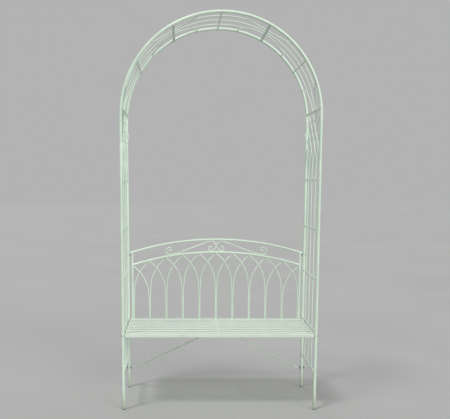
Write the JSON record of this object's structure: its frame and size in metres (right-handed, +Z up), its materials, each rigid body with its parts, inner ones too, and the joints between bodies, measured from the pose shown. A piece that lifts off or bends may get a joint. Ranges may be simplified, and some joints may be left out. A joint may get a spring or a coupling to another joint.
{
  "type": "garden arch with bench",
  "caption": "Round-topped metal tube trellis arch with lattice sides, a slatted bench and a scrolled pointed-arch backrest.",
  "frame": {"origin": "on the ground, in the middle of the four feet", "axes": "+X along the bench to the right as seen from the front, +Y from the front to the backrest, +Z up"},
  "size_m": [1.116, 0.44, 2.15],
  "materials": {
    "frame_paint": "satin sage green powder coat, weathered",
    "seat_paint": "satin sage green powder coat, a little worn on the slats",
    "zinc_hardware": "zinc-plated steel, dulled by weather",
    "foot_plastic": "matte black polyethylene"
  },
  "bodies": {
    "root": {"backrest_bolts": "zinc_hardware", "backrest_lower_rail": "frame_paint", "backrest_rods_to_left": "frame_paint", "backrest_rods_to_right": "frame_paint", "backrest_scroll_left": "frame_paint", "backrest_scroll_right": "frame_paint", "backrest_spacers": "zinc_hardware", "backrest_stile_left": "frame_paint", "backrest_stile_right": "frame_paint", "backrest_top_rail": "frame_paint", "brace_left": "frame_paint", "brace_nuts": "zinc_hardware", "brace_right": "frame_paint", "brace_washers": "zinc_hardware", "foot_caps": "foot_plastic", "joint_bars_1": "frame_paint", "joint_bars_2": "frame_paint", "joint_bars_3": "frame_paint", "joint_bars_4": "frame_paint", "joint_spigots": "frame_paint", "post_front_left": "frame_paint", "post_front_right": "frame_paint", "post_rear_left": "frame_paint", "post_rear_right": "frame_paint", "roof_crossbars": "frame_paint", "roof_curves_left": "frame_paint", "roof_curves_right": "frame_paint", "roof_curves_top": "frame_paint", "roof_tube_front_left": "frame_paint", "roof_tube_front_right": "frame_paint", "roof_tube_front_top": "frame_paint", "roof_tube_rear_left": "frame_paint", "roof_tube_rear_right": "frame_paint", "roof_tube_rear_top": "frame_paint", "roof_wires_left": "frame_paint", "roof_wires_right": "frame_paint", "roof_wires_top": "frame_paint", "seat_bolts": "zinc_hardware", "seat_centre_bar": "seat_paint", "seat_end_rail_left": "seat_paint", "seat_end_rail_right": "seat_paint", "seat_front_rail": "seat_paint", "seat_plugs": "zinc_hardware", "seat_rear_rail": "seat_paint", "seat_slat_1": "seat_paint", "seat_slat_2": "seat_paint", "seat_slat_3": "seat_paint", "seat_slat_4": "seat_paint", "seat_slat_5": "seat_paint", "seat_slat_6": "seat_paint", "seat_slat_7": "seat_paint", "seat_spacers": "zinc_hardware", "side_bottom_rail_left": "frame_paint", "side_bottom_rail_right": "frame_paint", "side_rails_left": "frame_paint", "side_rails_right": "frame_paint", "side_rods_to_back_left": "frame_paint", "side_rods_to_back_right": "frame_paint", "side_rods_to_front_left": "frame_paint", "side_rods_to_front_right": "frame_paint"}
  },
  "joints": []
}
